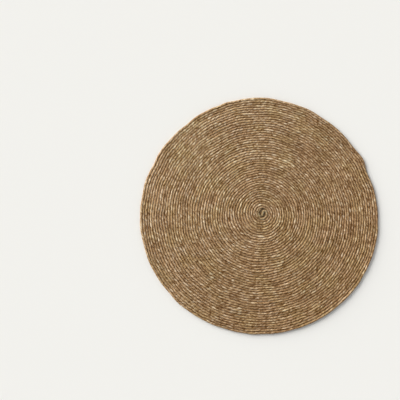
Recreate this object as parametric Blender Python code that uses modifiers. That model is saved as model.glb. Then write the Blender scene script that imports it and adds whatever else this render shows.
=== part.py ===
"""Round seagrass placemat: one long cord wound edge to edge into a flat disc.

Metres, +Z up. The origin is the middle of the underside, where the mat lies on a table.
The disc is one solid, one cord thick, with the cord's round side as its rim. Its outline is
the last turn of the spiral, which eases in by one cord where the cord's outer end is tucked in.
Seen from above, the cord winds outwards clockwise.
"""
import math

import bpy

# Driving dimensions
MAT_DIAMETER = 0.380
MAT_THICKNESS = 0.0036
CORD_TURNS = 48.8                     # from the heart to the outer end
END_ANGLE = math.radians(21)          # where the cord's outer end lies, from +X
END_LENGTH = 0.024                    # how much of the cord that end tapers over
RIM_ROUNDING = 0.0016

# The turns don't lie in perfect circles. Each row is one way they are uneven: how many times
# it repeats round the mat, its share of the radius, and where it is widest. The first leaves
# the heart off the middle, the second makes the mat a little oval, the rest flatten it in places.
UNEVEN = (
    (1, 0.0410, math.radians(-124)),
    (2, 0.0084, math.radians(-24)),
    (3, 0.0068, math.radians(-29)),
    (4, 0.0031, math.radians(-3)),
)

# How finely the rim is drawn
RIM_STEPS = 140
END_STEPS = 8
ROUNDING_STEPS = 4
ROUNDED_ANGLE = math.radians(60)
WELD_DISTANCE = 0.00001

FULL_TURN = 2 * math.pi
WOUND_ANGLE = FULL_TURN * CORD_TURNS
CORD_PITCH = MAT_DIAMETER / 2 / CORD_TURNS

SEAGRASS_COLOUR = (0.305, 0.205, 0.115, 1.0)
SEAGRASS_ROUGHNESS = 0.8


def clear_scene():
    """Remove whatever the file opened with."""
    for thing in list(bpy.data.objects):
        bpy.data.objects.remove(thing)


def seagrass_material():
    """Dry, matt straw-brown grass."""
    material = bpy.data.materials.new("seagrass")
    material.use_nodes = True
    shader = material.node_tree.nodes["Principled BSDF"]
    shader.inputs["Base Color"].default_value = SEAGRASS_COLOUR
    shader.inputs["Roughness"].default_value = SEAGRASS_ROUGHNESS
    shader.inputs["Metallic"].default_value = 0.0
    material.diffuse_color = SEAGRASS_COLOUR
    return material


def direction(wound):
    """Which way the cord lies from the heart once it has wound by this angle."""
    return END_ANGLE + WOUND_ANGLE - wound


def cord_radius(wound):
    """Distance from the heart to the middle of the cord there."""
    even = CORD_PITCH * wound / FULL_TURN
    uneven = sum(
        share * math.cos(lobes * (direction(wound) - widest)) for lobes, share, widest in UNEVEN)
    return even * (1 + uneven)


def rim_radius(wound):
    """Distance from the heart to the rim, along the last turn of the cord."""
    outer = cord_radius(wound)
    inner = cord_radius(wound - FULL_TURN)
    cord_left = (WOUND_ANGLE - wound) * outer
    share = min(cord_left / END_LENGTH, 1)
    full_width = share * share * (3 - 2 * share)
    return inner + (outer - inner) * full_width + CORD_PITCH / 2


def last_turn():
    """Wound angles along the last turn: even steps, then finer ones where the end tapers."""
    end_turn = END_LENGTH / cord_radius(WOUND_ANGLE)
    even_turn = FULL_TURN - end_turn
    taper = WOUND_ANGLE - end_turn
    even = [WOUND_ANGLE - FULL_TURN + even_turn * step / RIM_STEPS for step in range(RIM_STEPS)]
    fine = [taper + end_turn * step / END_STEPS for step in range(END_STEPS)]
    return even + fine


def rim_points():
    """The mat's outline, with the middle of its box at the origin."""
    points = []
    for wound in last_turn():
        radius = rim_radius(wound)
        points.append((radius * math.cos(direction(wound)), radius * math.sin(direction(wound))))
    middle_x = (min(x for x, y in points) + max(x for x, y in points)) / 2
    middle_y = (min(y for x, y in points) + max(y for x, y in points)) / 2
    return [(x - middle_x, y - middle_y) for x, y in points]


def make_mat(collection):
    """The wound disc: a filled outline of one cord's thickness, with a rounded rim."""
    outline = bpy.data.curves.new("mat", "CURVE")
    outline.dimensions = "2D"
    outline.fill_mode = "BOTH"
    outline.extrude = MAT_THICKNESS / 2
    points = rim_points()
    spline = outline.splines.new("POLY")
    spline.points.add(len(points) - 1)
    for point, (x, y) in zip(spline.points, points):
        point.co = (x, y, 0, 1)
    spline.use_cyclic_u = True
    outline.materials.append(seagrass_material())

    mat = bpy.data.objects.new("mat", outline)
    mat.location = (0, 0, MAT_THICKNESS / 2)
    collection.objects.link(mat)

    weld = mat.modifiers.new("join faces to wall", "WELD")
    weld.merge_threshold = WELD_DISTANCE
    rounding = mat.modifiers.new("round rim", "BEVEL")
    rounding.width = RIM_ROUNDING
    rounding.segments = ROUNDING_STEPS
    rounding.limit_method = "ANGLE"
    rounding.angle_limit = ROUNDED_ANGLE
    return mat


def main():
    clear_scene()
    collection = bpy.data.collections.new("seagrass placemat")
    bpy.context.scene.collection.children.link(collection)
    make_mat(collection)


main()
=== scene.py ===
"""Round seagrass placemat: one long twisted cord wound flat from its heart to its rim.

Laid out as an add-on and run as a script. All sizes are in metres, +Z up. The cord is made
straight first: its two-strand section is spun along itself into one full twist, the twist is
repeated, and the straight cord is then wound onto the mat's spiral and pressed between its
neighbouring turns.
"""
import math

import bmesh
import bpy
import numpy as np
from bpy.props import FloatProperty, FloatVectorProperty, PointerProperty
from mathutils import Matrix, Vector


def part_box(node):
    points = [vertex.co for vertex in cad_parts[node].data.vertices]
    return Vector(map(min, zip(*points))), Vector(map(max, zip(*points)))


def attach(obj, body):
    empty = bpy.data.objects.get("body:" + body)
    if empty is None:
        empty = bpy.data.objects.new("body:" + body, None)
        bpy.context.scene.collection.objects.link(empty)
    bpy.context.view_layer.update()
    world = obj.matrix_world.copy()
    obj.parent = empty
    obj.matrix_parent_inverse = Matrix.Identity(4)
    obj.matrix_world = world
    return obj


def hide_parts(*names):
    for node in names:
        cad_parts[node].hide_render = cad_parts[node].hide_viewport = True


bl_info = {
    "name": "Seagrass placemat",
    "version": (1, 0, 0),
    "blender": (4, 5, 0),
    "location": "View3D > Sidebar > Placemat",
    "description": "Winds a twisted seagrass cord into a round placemat on a plain stage",
    "category": "Add Mesh",
}

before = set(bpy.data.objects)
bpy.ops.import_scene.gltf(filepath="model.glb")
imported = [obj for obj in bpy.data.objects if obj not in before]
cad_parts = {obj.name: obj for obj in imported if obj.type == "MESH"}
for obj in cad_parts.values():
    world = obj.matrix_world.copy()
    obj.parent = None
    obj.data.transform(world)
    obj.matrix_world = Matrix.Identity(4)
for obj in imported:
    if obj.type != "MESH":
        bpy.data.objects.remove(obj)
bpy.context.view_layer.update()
MAT_LOW, MAT_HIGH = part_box("mat")

FULL_TURN = 2 * math.pi
MM = 0.001

# How the turns stray from perfect circles: how many times each way repeats round the mat,
# its share of the radius, and where it is widest
UNEVEN = (
    (1, 0.0410, math.radians(-124)),
    (2, 0.0084, math.radians(-24)),
    (3, 0.0068, math.radians(-29)),
    (4, 0.0031, math.radians(-3)),
)

# The heart: the cord's inner end lies straight, then hooks over into the first turn.
# Points of its middle line from the heart, in millimetres, x then y.
HEART_HOOK = ((0.5, -5.0), (0.6, -2.2), (1.1, 0.7), (2.4, 3.3), (4.6, 4.3))
HOOK_JOINS = 1.800                    # turns wound where the hook meets the spiral
HOOK_POINTS = 24                      # drawn between two points of the hook
HOOK_LEAD = math.radians(25)          # how far round the hook looks ahead to run in smoothly
SPIRAL_STEP = math.radians(0.5)
OUTLINE_STEPS = 721

# Two short ends tucked into the heart: one stands beside the hook, the other lies under it,
# where it fills the heart's hollow and its colour is painted in deep shade.
# For each: its name, the angles and distances from the heart that it runs between, its width,
# its height and how much of it isn't in painted deep shade.
TUCKED_ENDS = (
    ("heart_end", (256, 84), (0.0058, 0.0074), 0.0034, 0.0033, 1.0),
    ("heart_fold", (-100, 300), (0.0040, 0.0040), 0.0088, 0.0018, 0.40),
)
TUCK_TAPER = 0.006
TUCK_POINTS = 60

# The cord's section: distances from its middle, from a strand's crown to the groove
CROWN, SHOULDER, GROOVE = 1.0, 0.975, 0.89
CROWN_STEEPNESS, SHOULDER_STEEPNESS = 0.5, 0.9
SECTION_POINTS = 10
SECOND_STRAND = (2, 6)                # first and last of its points, counted round the section
TWIST_STEPS = 16
WELD_DISTANCE = 0.00005
GRAIN_LAY = 0.110                     # the blades run almost along the cord
STRAND_APART = 50.0                   # keeps the two strands' grain unlike

# How the cord is shared out over the meshes, from the heart outwards
STRETCHES = (("heart_turns", 0.375), ("middle_turns", 0.238), ("outer_turns", 0.387))
UV_ROWS = 20
ROW_FILL = 0.94

# How uneven the cord is. For each way: how far it strays, and over what length it changes.
TWIST_DRIFT = (2.1, 0.027)            # the twist runs ahead or behind, in radians
SWELL = (0.05, 0.030)                 # share of the cord's thickness
BLADE_SWELL = (0.05, 0.0075)          # the same again, for each blade by itself
SIDE_DRIFT = (0.00010, 0.018)
LIFT_DRIFT = (0.00016, 0.034)

# How the cord is pressed, and how its two ends narrow
PRESSED_REACH = 1.12
PRESSED_HEIGHT = 0.91
OVERLAP = 1.06                        # neighbouring turns are pressed into each other
CROWDING = 0.0036                     # neighbouring turns wave together, as a share of a wave
CROWDING_WAVES = np.linspace(0.020, 0.064, 14)
TIP_LENGTH = 0.0022
TIP_BLUNTNESS = 0.02                  # where the rounding of the tip starts, as a share of it
TAIL_WIDTH, TAIL_HEIGHT = 0.16, 0.40

WORN_END = 0.045                      # how far the greying of the heart reaches along the cord
RIM_LIFT = 0.62                       # the rim has no neighbour to shade its outer side
RIM_WEAR = 0.20                       # and is worn a little paler
SEED = 11


# ---------------------------------------------------------------- settings

class PLACEMAT_PG_sizes(bpy.types.PropertyGroup):
    """Sizes of the wound cord."""

    diameter: FloatProperty(
        name="Diameter", description="Mean width across the mat",
        default=0.380, min=0.1, unit="LENGTH")
    turns: FloatProperty(
        name="Turns", description="Turns of cord from the heart to the outer end",
        default=48.8, min=5)
    end_angle: FloatProperty(
        name="End angle", description="Where the cord's outer end lies, from +X",
        default=math.radians(21), subtype="ANGLE")
    end_length: FloatProperty(
        name="End length", description="Length over which the outer end tapers",
        default=0.024, min=0.001, unit="LENGTH")
    thickness: FloatProperty(
        name="Thickness", description="Height of the pressed cord",
        default=MAT_HIGH.z - MAT_LOW.z, min=0.001, unit="LENGTH")
    twist_length: FloatProperty(
        name="Twist length", description="Length of one full twist of the two strands",
        default=0.0184, min=0.005, unit="LENGTH")


class PLACEMAT_PG_colours(bpy.types.PropertyGroup):
    """Colours of the dried grass and the stage."""

    dark: FloatVectorProperty(
        name="Dark blades", description="Darkest blades of grass",
        default=(0.150, 0.070, 0.021), subtype="COLOR", min=0, max=1)
    middle: FloatVectorProperty(
        name="Middle blades", description="Most of the blades",
        default=(0.479, 0.308, 0.156), subtype="COLOR", min=0, max=1)
    pale: FloatVectorProperty(
        name="Pale blades", description="Sun-bleached straw-coloured blades",
        default=(0.776, 0.621, 0.427), subtype="COLOR", min=0, max=1)
    ruddy: FloatVectorProperty(
        name="Ruddy tint", description="Multiplies the blades that dried redder",
        default=(1.006, 0.985, 0.990), subtype="COLOR", min=0, max=1.1)
    olive: FloatVectorProperty(
        name="Olive tint", description="Multiplies the blades that stayed greener",
        default=(0.990, 1.0, 0.930), subtype="COLOR", min=0, max=1.1)
    weathered: FloatVectorProperty(
        name="Weathered tint", description="Multiplies the greyed grass of the heart",
        default=(0.775, 0.930, 0.96), subtype="COLOR", min=0, max=1.1)
    # Painted shade: the grooves between the strands and between the turns are darkened towards
    # this colour
    groove: FloatVectorProperty(
        name="Grooves", description="Dust and shade between strands and turns",
        default=(0.085, 0.031, 0.006), subtype="COLOR", min=0, max=1)
    floor: FloatVectorProperty(
        name="Floor", description="Plain pale floor",
        default=(0.86, 0.853, 0.822), subtype="COLOR", min=0, max=1)


# ---------------------------------------------------------------- materials

class Wire:
    """A socket in a material's node tree, so that shader maths reads as plain expressions."""

    def __init__(self, tree, socket=None):
        self.tree = tree
        self.socket = socket

    def node(self, kind, settings=None, inputs=None, output=0):
        """Add one node: its settings first, then its sockets' values or wires."""
        made = self.tree.nodes.new(kind)
        for name, value in (settings or {}).items():
            if name == "stops":
                set_stops(made.color_ramp, value)
            else:
                setattr(made, name, value)
        for name, value in (inputs or {}).items():
            if isinstance(value, Wire):
                self.tree.links.new(value.socket, made.inputs[name])
            else:
                made.inputs[name].default_value = value
        return Wire(self.tree, made.outputs[output])

    def math(self, operation, first, second):
        return self.node("ShaderNodeMath", {"operation": operation}, {0: first, 1: second})

    def __add__(self, other):
        return self.math("ADD", self, other)

    __radd__ = __add__

    def __sub__(self, other):
        return self.math("SUBTRACT", self, other)

    def __rsub__(self, other):
        return self.math("SUBTRACT", other, self)

    def __mul__(self, other):
        return self.math("MULTIPLY", self, other)

    __rmul__ = __mul__


def set_stops(ramp, stops):
    """Give a colour ramp its stops: (place, colour) pairs."""
    while len(ramp.elements) < len(stops):
        ramp.elements.new(1)
    for element, (place, colour) in zip(ramp.elements, stops):
        element.position = place
        element.color = (*colour, 1)


def new_material(name):
    """An empty material with its shader, and a wire to build the rest from."""
    material = bpy.data.materials.new(name)
    material.use_nodes = True
    tree = material.node_tree
    return material, tree.nodes["Principled BSDF"], Wire(tree)


def mix_colours(wire, share, first, second, blend="MIX"):
    """Blend two colours by a share from 0 to 1."""
    settings = {"data_type": "RGBA", "blend_type": blend, "clamp_factor": True}
    return wire.node("ShaderNodeMix", settings, {0: share, 6: first, 7: second}, output=2)


def stretched(wire, vector, along, across):
    """Scale the grain's place: first along the blades, then across them."""
    scale = {"operation": "MULTIPLY"}
    return wire.node("ShaderNodeVectorMath", scale, {0: vector, 1: (along, across, across)})


def noise(wire, vector, detail=2.0, roughness=0.5):
    """Smooth random values from 0 to 1."""
    sockets = {"Vector": vector, "Scale": 1.0, "Detail": detail, "Roughness": roughness}
    return wire.node("ShaderNodeTexNoise", {"noise_dimensions": "3D"}, sockets)


def cells(wire, vector):
    """One random value from 0 to 1 for each blade, with crisp edges between blades."""
    sockets = {"Vector": vector, "Scale": 1.0, "Randomness": 1.0}
    colour = wire.node("ShaderNodeTexVoronoi", {"feature": "F1"}, sockets, output="Color")
    return wire.node("ShaderNodeSeparateColor", None, {0: colour})


def spread(wire, value, low, high):
    """Widen the values between low and high to the whole range from 0 to 1."""
    sockets = {"Value": value, "From Min": low, "From Max": high, "To Min": 0.0, "To Max": 1.0}
    return wire.node("ShaderNodeMapRange", {"clamp": True}, sockets)


def seagrass_material(colours):
    """Dried seagrass: blades of many tones along each strand and fine fibres, with painted
    shade in the grooves and a painted lighter upper-left side.
    """
    material, shader, wire = new_material("seagrass")
    grain = wire.node("ShaderNodeAttribute", {"attribute_name": "grain"}, output="Vector")
    lay = wire.node("ShaderNodeAttribute", {"attribute_name": "lay"}, output="Vector")
    crown = wire.node("ShaderNodeSeparateXYZ", None, {0: lay}, output=0)
    height = wire.node("ShaderNodeSeparateXYZ", None, {0: lay}, output=1)
    worn = wire.node("ShaderNodeSeparateXYZ", None, {0: lay}, output=2)
    place = wire.node("ShaderNodeTexCoord", output="Object")

    turns = cells(wire, stretched(wire, grain, 210, 230))
    blades = cells(wire, stretched(wire, grain, 130, 620))
    slivers = cells(wire, stretched(wire, grain, 310, 1300))
    streaks = spread(wire, noise(wire, stretched(wire, grain, 290, 700), 1.0), 0.34, 0.68)
    bundles = spread(wire, noise(wire, stretched(wire, grain, 45, 60), 1.0), 0.34, 0.66)
    fibres = noise(wire, stretched(wire, grain, 220, 4200), 3.0, 0.65)
    # Painted light: the mat's upper-left side is made lighter, as if more lit from there
    painted_lit_side = wire.node(
        "ShaderNodeVectorMath", {"operation": "DOT_PRODUCT"}, {0: place, 1: (-0.7, 0.7, 0)},
        output="Value")
    specks = spread(wire, cells(wire, stretched(wire, grain, 320, 420)), 0.80, 0.92)
    glints = spread(wire, cells(wire, stretched(wire, grain, 130, 520)), 0.84, 0.94)

    tone = turns * 0.09 + blades * 0.22 + slivers * 0.29 + streaks * 0.18 + bundles * 0.02
    tone = tone + spread(wire, fibres, 0.25, 0.75) * 0.13 + glints * 0.10 - specks * 0.14
    tone = tone + painted_lit_side * 0.26 + worn * 0.03
    stops = [
        (0.220, colours.dark),
        (0.450, colours.middle),
        (0.530, colours.middle),
        (0.730, colours.pale),
    ]
    grass = wire.node("ShaderNodeValToRGB", {"stops": stops}, {0: tone})
    hue = spread(wire, noise(wire, stretched(wire, place, 34, 34), 0.6), 0.32, 0.68)
    tint_stops = [(0.1, colours.ruddy), (0.5, (1, 1, 1)), (0.9, colours.olive)]
    tint = wire.node("ShaderNodeValToRGB", {"stops": tint_stops}, {0: hue})
    tinted = mix_colours(wire, 1.0, grass, tint, "MULTIPLY")
    greyed = spread(wire, worn, RIM_WEAR, 1.0)
    tinted = mix_colours(wire, greyed, tinted, (*colours.weathered, 1), "MULTIPLY")

    # Painted shade: the groove between the two strands and the grooves between neighbouring
    # turns are darkened towards the groove colour. How deep the shade between turns is varies
    # over the mat and is less at the greyed heart.
    between_strands_shade = 1 - (1 - spread(wire, crown, 0.0, 0.8)) * (bundles * 0.15 + 0.12)
    turn_shade_strength = spread(wire, noise(wire, stretched(wire, place, 230, 230), 1.0), 0.34, 0.62)
    turn_shade_strength = (turn_shade_strength * 0.42 + 0.42) * (1 - greyed * 0.3)
    between_turns_shade = 1 - (1 - spread(wire, height, 0.46, 0.88)) * turn_shade_strength
    shaded = mix_colours(wire, between_strands_shade * between_turns_shade, (*colours.groove, 1), tinted)
    wire.tree.links.new(shaded.socket, shader.inputs["Base Color"])

    roughness = 0.62 + 0.22 * fibres + 0.08 * (1 - blades)
    wire.tree.links.new(roughness.socket, shader.inputs["Roughness"])
    relief = fibres * 0.5 + blades * 0.5
    bump = wire.node(
        "ShaderNodeBump", None, {"Strength": 0.5, "Distance": 0.0003, "Height": relief})
    wire.tree.links.new(bump.socket, shader.inputs["Normal"])
    shader.inputs["Specular IOR Level"].default_value = 0.08
    return material


def floor_material(colours):
    """Plain matt floor."""
    material, shader, _ = new_material("floor")
    shader.inputs["Base Color"].default_value = (*colours.floor, 1)
    shader.inputs["Roughness"].default_value = 0.85
    shader.inputs["Specular IOR Level"].default_value = 0.2
    return material


# ---------------------------------------------------------------- the spiral

class Path:
    """A line on the table that a cord lies along, by its length from its start."""

    def __init__(self, points, width, height):
        self.width = width
        self.height = height
        self.rim_from = math.inf          # where its outer side starts to be the mat's rim
        self.unshaded = 1.0               # how much of it isn't in painted deep shade
        self.points = points
        gaps = np.hypot(*np.diff(points, axis=0).T)
        self.along = np.concatenate([[0.0], np.cumsum(gaps)])
        self.length = float(self.along[-1])
        self.tangents = np.gradient(points, self.along, axis=0)
        self.tangents /= np.hypot(*self.tangents.T)[:, None]

    def at(self, along):
        """Points and outward sideways directions at these lengths from the start."""
        points = np.stack([np.interp(along, self.along, axis) for axis in self.points.T], 1)
        forward = np.stack([np.interp(along, self.along, axis) for axis in self.tangents.T], 1)
        return points, np.stack([-forward[:, 1], forward[:, 0]], 1)

    def room(self, along):
        """How much wider than usual the cord can spread there."""
        return np.ones_like(along)

    def width_share(self, left):
        """How much of its full width the cord still has, with this length left to its end."""
        return np.ones_like(left)


class Spiral(Path):
    """The middle line of the cord over the whole mat, from the heart's tip outwards."""

    def __init__(self, sizes):
        self.sizes = sizes
        self.wound_angle = FULL_TURN * sizes.turns
        self.pitch = sizes.diameter / 2 / sizes.turns
        wound = self.wound_steps()
        x, y = self.place(wound)
        hook = self.hook_points(x[0], y[0], wound[0])
        points = np.concatenate([hook, np.stack([x, y], 1)]) + self.middle()
        super().__init__(points, self.pitch, sizes.thickness)
        last_turn = len(hook) + np.searchsorted(wound, self.wound_angle - FULL_TURN)
        self.rim_from = float(self.along[last_turn])
        self.rooms = np.concatenate([np.ones(len(hook)), 1 + self.unevenness(wound)])

    def direction(self, wound):
        return self.sizes.end_angle + self.wound_angle - wound

    def unevenness(self, wound):
        """How far the turns stray from circles there, as a share of the radius."""
        return sum(
            share * np.cos(lobes * (self.direction(wound) - widest))
            for lobes, share, widest in UNEVEN)

    def radius(self, wound):
        """Distance from the heart to the middle of the cord."""
        return self.pitch * wound / FULL_TURN * (1 + self.unevenness(wound))

    def room(self, along):
        return np.interp(along, self.along, self.rooms)

    def width_share(self, left):
        """How much of its full width the cord still has, with this length left to its end."""
        share = np.clip(left / self.sizes.end_length, 0, 1)
        return share * share * (3 - 2 * share)

    def place(self, wound):
        """The spiral's points. The tapering outer end stays against the turn inside it."""
        radius = self.radius(wound)
        left = (self.wound_angle - wound) * self.radius(self.wound_angle)
        radius = radius - self.pitch / 2 * (1 - self.width_share(left))
        return radius * np.cos(self.direction(wound)), radius * np.sin(self.direction(wound))

    def wound_steps(self):
        return np.arange(FULL_TURN * HOOK_JOINS, self.wound_angle, SPIRAL_STEP)

    def hook_points(self, next_x, next_y, wound):
        """The heart's hook, as a smooth curve through its points that runs into the spiral."""
        after_x, after_y = self.place(wound + HOOK_LEAD)
        knots = [Vector((x * MM, y * MM)) for x, y in HEART_HOOK]
        knots += [Vector((next_x, next_y)), Vector((float(after_x), float(after_y)))]
        knots = [2 * knots[0] - knots[1]] + knots
        drawn = []
        for before, start, stop, after in zip(knots, knots[1:], knots[2:], knots[3:]):
            for step in range(HOOK_POINTS):
                drawn.append(smooth_between(before, start, stop, after, step / HOOK_POINTS))
        return np.array(drawn)

    def middle(self):
        """Where the heart lies, so that the outline's box has the CAD mat's middle."""
        last_turn = np.linspace(self.wound_angle - FULL_TURN, self.wound_angle, OUTLINE_STEPS)
        radius = self.radius(last_turn) + self.pitch / 2
        x = radius * np.cos(self.direction(last_turn))
        y = radius * np.sin(self.direction(last_turn))
        box = (MAT_LOW + MAT_HIGH) / 2
        return np.array([box.x - (x.min() + x.max()) / 2, box.y - (y.min() + y.max()) / 2])


class TuckedEnd(Path):
    """A short end of cord that curls round the heart."""

    def __init__(self, spiral, angles, radii, width, height, unshaded):
        angle = np.radians(np.linspace(*angles, TUCK_POINTS))
        radius = np.linspace(*radii, TUCK_POINTS)
        arc = np.stack([np.cos(angle), np.sin(angle)], 1) * radius[:, None]
        super().__init__(arc + spiral.middle(), width, height)
        self.unshaded = unshaded

    def width_share(self, left):
        share = np.clip(left / TUCK_TAPER, 0, 1)
        return share * share * (3 - 2 * share)


def smooth_between(before, start, stop, after, share):
    """A point between start and stop on a smooth curve that also heeds its neighbours."""
    leaving = (stop - before) / 2
    arriving = (after - start) / 2
    square = share * share
    cube = square * share
    return (start * (2 * cube - 3 * square + 1) + leaving * (cube - 2 * square + share)
            + stop * (3 * square - 2 * cube) + arriving * (cube - square))


def wander(along, size_and_spacing, seed):
    """A smooth random drift of up to this size either way, with a new value each spacing."""
    size, spacing = size_and_spacing
    random = np.random.default_rng(SEED + seed)
    place = np.asarray(along) / spacing
    whole = np.floor(place).astype(int)
    values = random.uniform(-1, 1, whole.max() + 2)
    share = place - whole
    eased = share * share * (3 - 2 * share)
    return size * (values[whole] * (1 - eased) + values[whole + 1] * eased)


def crowding(points):
    """How far neighbouring turns are pushed aside together, as gentle waves over the mat."""
    random = np.random.default_rng(SEED)
    pushed = np.zeros(len(points))
    for wavelength in CROWDING_WAVES:
        angle, phase = random.uniform(0, FULL_TURN, 2)
        across = points[:, 0] * math.cos(angle) + points[:, 1] * math.sin(angle)
        pushed += CROWDING * wavelength * np.sin(FULL_TURN * across / wavelength + phase)
    return pushed


# ---------------------------------------------------------------- the cord

def section_place(vert):
    """Move a point of the round section to its place on the two-strand section."""
    flat = Vector((0, vert.co.y, vert.co.z))
    steepness = round(abs(flat.z) / flat.length, 3)
    if steepness < CROWN_STEEPNESS:
        distance = CROWN
    elif steepness < SHOULDER_STEEPNESS:
        distance = SHOULDER
    else:
        distance = GROOVE
    return flat.normalized() * distance


def straight_cord(name, twists, step):
    """A straight two-strand cord along +X: one full twist, repeated."""
    bm = bmesh.new()
    around = bm.verts.layers.int.new("around")
    half_segment = math.pi / SECTION_POINTS
    upright = Matrix.Rotation(math.radians(90), 4, "Y") @ Matrix.Rotation(half_segment, 4, "Z")
    ring = bmesh.ops.create_circle(bm, segments=SECTION_POINTS, radius=1, matrix=upright)
    for index, vert in enumerate(ring["verts"]):
        vert[around] = index
        vert.co = section_place(vert)
    bmesh.ops.spin(
        bm, geom=bm.verts[:] + bm.edges[:], cent=(0, 0, 0), axis=(1, 0, 0),
        dvec=(step, 0, 0), angle=-FULL_TURN, steps=TWIST_STEPS,
        use_merge=False, use_normal_flip=False, use_duplicate=False)
    mesh = bpy.data.meshes.new(name)
    bm.to_mesh(mesh)
    bm.free()

    twist = bpy.data.objects.new(name, mesh)
    bpy.context.scene.collection.objects.link(twist)
    repeat = twist.modifiers.new("repeat", "ARRAY")
    repeat.count = twists
    repeat.use_relative_offset = False
    repeat.use_constant_offset = True
    repeat.constant_offset_displace = (step * TWIST_STEPS, 0, 0)
    repeat.use_merge_vertices = True
    repeat.merge_threshold = WELD_DISTANCE
    shown = twist.evaluated_get(bpy.context.evaluated_depsgraph_get())
    long_mesh = bpy.data.meshes.new_from_object(shown)
    twist.modifiers.clear()
    twist.data = long_mesh
    bpy.data.meshes.remove(mesh)
    long_mesh.name = name
    return twist


def close_ends(mesh):
    """Close the cord's two ends and turn all faces outwards."""
    bm = bmesh.new()
    bm.from_mesh(mesh)
    rims = [edge for edge in bm.edges if edge.is_boundary]
    bmesh.ops.holes_fill(bm, edges=rims, sides=SECTION_POINTS)
    bmesh.ops.recalc_face_normals(bm, faces=bm.faces[:])
    bm.to_mesh(mesh)
    bm.free()


def read(items, name, width=1, kind=np.float32):
    """One property of all items as an array."""
    found = np.empty(len(items) * width, kind)
    items.foreach_get(name, found)
    return found.reshape(-1, width) if width > 1 else found


class WoundCord:
    """Winds one stretch of straight cord along its path, and keeps each face's grain."""

    def __init__(self, cord, path, first_ring, step):
        self.mesh = cord.data
        self.path = path
        self.first_ring = first_ring
        self.step = step
        place = read(self.mesh.vertices, "co", 3)
        self.ring = np.rint(place[:, 0] / step).astype(int)
        self.around = read(self.mesh.attributes["around"].data, "value", 1, np.int32)
        self.section = place[:, 1:]

    def wind(self):
        """Place every point: unevenness first, then pressing, then the path."""
        path = self.path
        along = (self.first_ring + self.ring) * self.step
        side, up = self.section.T.astype(float)
        side, up = turned(side, up, wander(along, TWIST_DRIFT, 1))
        swell = 1 + wander(along, SWELL, 4)
        for index in range(SECTION_POINTS):
            chosen = self.around == index
            swell[chosen] += wander(along[chosen], BLADE_SWELL, 10 + index)
        side = (side + pressed(side * swell)) / 2
        up = up * swell

        half_height = path.height / 2
        self.outward = side
        side = side / self.widest(side) * path.width / 2 * path.room(along) * OVERLAP
        up = up * half_height * PRESSED_HEIGHT

        left = path.length - along
        tail = TAIL_WIDTH + (1 - TAIL_WIDTH) * path.width_share(left)
        tip = np.sqrt(1 - (1 - np.clip(along / TIP_LENGTH, TIP_BLUNTNESS, 1)) ** 2)
        middle, outward = path.at(along)
        inner = crowding(middle - outward * path.width / 2)
        outer = crowding(middle + outward * path.width / 2)
        side = side * tail * tip * (1 + (outer - inner) / path.width)
        side += (inner + outer) / 2 + wander(along, SIDE_DRIFT, 6)
        up = up * (TAIL_HEIGHT + (1 - TAIL_HEIGHT) * tail) * tip + wander(along, LIFT_DRIFT, 7)
        placed = np.empty((len(along), 3))
        placed[:, :2] = middle + outward * side[:, None]
        placed[:, 2] = np.clip(MAT_LOW.z + half_height + up, MAT_LOW.z, MAT_HIGH.z)
        self.mesh.vertices.foreach_set("co", placed.astype(np.float32).ravel())

    def widest(self, side):
        """How far each ring reaches sideways, on the side that each point lies."""
        reach = np.zeros((2, self.ring.max() + 1))
        which = (side > 0).astype(int)
        np.maximum.at(reach, (which, self.ring), np.abs(side))
        return reach[which, self.ring]

    @staticmethod
    def on_second_strand(around):
        """True for points of the section on the second strand."""
        return (around >= SECOND_STRAND[0]) & (around <= SECOND_STRAND[1])

    def lay_out(self):
        """Give each face corner its grain, its lay and its place in the rows of the map."""
        mesh = self.mesh
        verts = read(mesh.loops, "vertex_index", 1, np.int32)
        starts = read(mesh.polygons, "loop_start", 1, np.int32)
        counts = read(mesh.polygons, "loop_total", 1, np.int32)
        face = np.repeat(np.arange(len(starts)), counts)
        ring = self.ring[verts]
        around = self.around[verts]
        low = np.minimum.reduceat(around, starts)
        high = np.maximum.reduceat(around, starts)
        seam = (high - low) == SECTION_POINTS - 1
        first = np.where(seam, SECTION_POINTS - 1, low)
        second_strand = self.on_second_strand(first)[face]
        unrolled = np.where(seam[face] & (around == 0), SECTION_POINTS, around)

        along = (self.first_ring + ring) * self.step
        distance = np.hypot(*self.section[verts].T)
        local = self.section[verts].T * self.path.width / 2
        across, deep = turned(*local, FULL_TURN * along / GRAIN_LAY)
        grain = np.stack([along + second_strand * STRAND_APART, across, deep], 1)
        self.keep("grain", grain)

        # The lay holds what the colour's painted shade reads: crown is low in the groove
        # between the two strands, lift is low halfway up the cord's side where turns meet and
        # is scaled down where the cord lies in deep shade, and worn marks the greyed heart and
        # the paler rim.
        height = read(mesh.vertices, "co", 3)[verts, 2]
        half = self.path.height / 2
        crown = (distance - GROOVE) / (CROWN - GROOVE)
        lift = np.abs(height - MAT_LOW.z - half) / half
        on_rim = (along > self.path.rim_from) & (self.outward[verts] > 0)
        lift = np.where(on_rim, np.maximum(lift, RIM_LIFT), lift)
        worn = np.exp(-along / WORN_END) + RIM_WEAR * (along > self.path.rim_from)
        self.keep("lay", np.stack([crown, lift * self.path.unshaded, worn], 1))

        rings = self.ring.max() + 1
        per_row = math.ceil(rings / UV_ROWS)
        face_ring = np.minimum.reduceat(ring, starts)[face]
        row = face_ring // per_row
        right = (ring - row * per_row) / per_row
        up = (row + ROW_FILL * unrolled / SECTION_POINTS) / UV_ROWS
        rows = mesh.uv_layers.new(name="OFBake")
        rows.uv.foreach_set("vector", np.stack([right, up], 1).astype(np.float32).ravel())

    def keep(self, name, values):
        """Store one vector for each face corner."""
        attribute = self.mesh.attributes.new(name, "FLOAT_VECTOR", "CORNER")
        attribute.data.foreach_set("vector", values.astype(np.float32).ravel())


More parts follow.
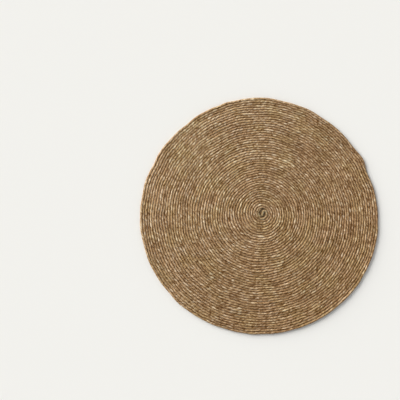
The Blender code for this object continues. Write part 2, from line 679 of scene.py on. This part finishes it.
def turned(side, up, angle):
    """Turn points of the section about the cord's middle."""
    cos, sin = np.cos(angle), np.sin(angle)
    return side * cos - up * sin, side * sin + up * cos


def pressed(side):
    """Press the section's sides flat against the neighbouring turns."""
    return np.sin(np.clip(side / PRESSED_REACH, -1, 1) * math.pi / 2)


def finish_piece(piece, material):
    """What every piece of the mat shares."""
    piece.data.materials.clear()
    piece.data.materials.append(material)
    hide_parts("mat")
    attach(piece, "root")


class PLACEMAT_OT_wind_cord(bpy.types.Operator):
    """Twist the cord and wind it into the mat, as one stretch of turns after another."""

    bl_idname = "placemat.wind_cord"
    bl_label = "Wind the cord"

    def execute(self, context):
        sizes = context.scene.placemat_sizes
        spiral = Spiral(sizes)
        twists = round(spiral.length / sizes.twist_length)
        step = spiral.length / twists / TWIST_STEPS
        material = seagrass_material(context.scene.placemat_colours)
        wound = 0
        for name, share in STRETCHES:
            count = min(round(share * twists), twists - wound)
            cord = self.lay(name, spiral, count, wound, step, material)
            with_pieces = []
            if wound == 0:
                with_pieces = self.tuck_ends(spiral, material)
            wound += count
        return {"FINISHED"}

    def tuck_ends(self, spiral, material):
        """Curl the short ends into the heart, and give their names."""
        names = []
        for name, *shape in TUCKED_ENDS:
            end = TuckedEnd(spiral, *shape)
            self.lay(name, end, 1, 0, end.length / TWIST_STEPS, material)
            names.append(name)
        return names

    def lay(self, name, path, twists, wound, step, material):
        """Make one stretch of cord and lay it along its path."""
        cord = straight_cord(name, twists, step)
        close_ends(cord.data)
        stretch = WoundCord(cord, path, wound * TWIST_STEPS, step)
        stretch.wind()
        stretch.lay_out()
        cord.data.shade_smooth()
        finish_piece(cord, material)
        return cord


# ---------------------------------------------------------------- the stage

FLOOR_RADIUS = 6
FLOOR_DROP = 0.0001                   # keeps the floor clear of the mat's underside
KEY_FROM = Vector((-1, 0.75, 0.41))   # low, from the far left
KEY_SPREAD = math.radians(45)
KEY_STRENGTH = 5.75
KEY_COLOUR = (1.0, 0.99, 0.97)
WALL_COLOUR = (0.98, 0.99, 1.0, 1.0)
WALL_STRENGTH = 1.035
CEILING_STRENGTH = 0.30
WALL_TOP = (0.35, 0.60)               # where the walls give way to the ceiling, up from level
CAMERA_PLACE = Vector((-0.0948, 0.0258))
VIEW_WIDTH = 0.6412
CAMERA_LENS = 85
SENSOR = 36


def aim(thing, target):
    """Turn a camera or light to look at a point."""
    thing.rotation_euler = (target - thing.location).to_track_quat("-Z", "Y").to_euler()


def add_light(name, place, spread_angle, strength, colour):
    """A broad even light from far off, on the line from this place to the mat."""
    light = bpy.data.lights.new(name, "SUN")
    light.angle = spread_angle
    light.energy = strength
    light.color = colour
    lamp = bpy.data.objects.new(name, light)
    bpy.context.scene.collection.objects.link(lamp)
    lamp.location = place
    aim(lamp, Vector((0, 0, 0)))


def studio_world():
    """White walls all round: brighter low down than overhead."""
    world = bpy.data.worlds.new("studio")
    world.use_nodes = True
    wire = Wire(world.node_tree)
    place = wire.node("ShaderNodeTexCoord", output="Generated")
    rise = wire.node("ShaderNodeSeparateXYZ", None, {0: place}, output=2)
    low = wire.node("ShaderNodeMapRange", {"clamp": True}, {
        "Value": rise, "From Min": WALL_TOP[0], "From Max": WALL_TOP[1],
        "To Min": WALL_STRENGTH, "To Max": CEILING_STRENGTH})
    background = world.node_tree.nodes["Background"]
    background.inputs["Color"].default_value = WALL_COLOUR
    world.node_tree.links.new(low.socket, background.inputs["Strength"])
    return world


class PLACEMAT_OT_stage(bpy.types.Operator):
    """Lay the floor, hang the soft lights and set the camera straight above."""

    bl_idname = "placemat.stage"
    bl_label = "Set the stage"

    def execute(self, context):
        scene = context.scene
        bm = bmesh.new()
        bmesh.ops.create_circle(bm, cap_ends=True, segments=96, radius=FLOOR_RADIUS)
        bmesh.ops.translate(bm, verts=bm.verts, vec=(0, 0, MAT_LOW.z - FLOOR_DROP))
        mesh = bpy.data.meshes.new("floor")
        bm.to_mesh(mesh)
        bm.free()
        mesh.materials.append(floor_material(scene.placemat_colours))
        floor = bpy.data.objects.new("floor", mesh)
        scene.collection.objects.link(floor)

        add_light("key", KEY_FROM, KEY_SPREAD, KEY_STRENGTH, KEY_COLOUR)

        scene.world = studio_world()
        scene.view_settings.view_transform = "Standard"

        camera = bpy.data.objects.new("camera", bpy.data.cameras.new("camera"))
        scene.collection.objects.link(camera)
        camera.data.lens = CAMERA_LENS
        camera.data.sensor_width = SENSOR
        height = VIEW_WIDTH * CAMERA_LENS / SENSOR
        camera.location = (CAMERA_PLACE.x, CAMERA_PLACE.y, MAT_HIGH.z + height)
        scene.camera = camera
        return {"FINISHED"}


# ---------------------------------------------------------------- panel and run

class PLACEMAT_PT_panel(bpy.types.Panel):
    """Lists the placemat's operators and settings."""

    bl_label = "Placemat"
    bl_space_type = "VIEW_3D"
    bl_region_type = "UI"
    bl_category = "Placemat"

    def draw(self, context):
        layout = self.layout
        for operator in OPERATORS:
            layout.operator(operator.bl_idname)
        for settings in (context.scene.placemat_sizes, context.scene.placemat_colours):
            for name in settings.__annotations__:
                layout.prop(settings, name)


OPERATORS = (PLACEMAT_OT_wind_cord, PLACEMAT_OT_stage)
CLASSES = (PLACEMAT_PG_sizes, PLACEMAT_PG_colours, *OPERATORS, PLACEMAT_PT_panel)


def register():
    for item in CLASSES:
        bpy.utils.register_class(item)
    bpy.types.Scene.placemat_sizes = PointerProperty(type=PLACEMAT_PG_sizes)
    bpy.types.Scene.placemat_colours = PointerProperty(type=PLACEMAT_PG_colours)


def unregister():
    del bpy.types.Scene.placemat_colours
    del bpy.types.Scene.placemat_sizes
    for item in reversed(CLASSES):
        bpy.utils.unregister_class(item)


def main():
    register()
    bpy.ops.placemat.stage()
    bpy.ops.placemat.wind_cord()


if __name__ == "__main__":
    main()
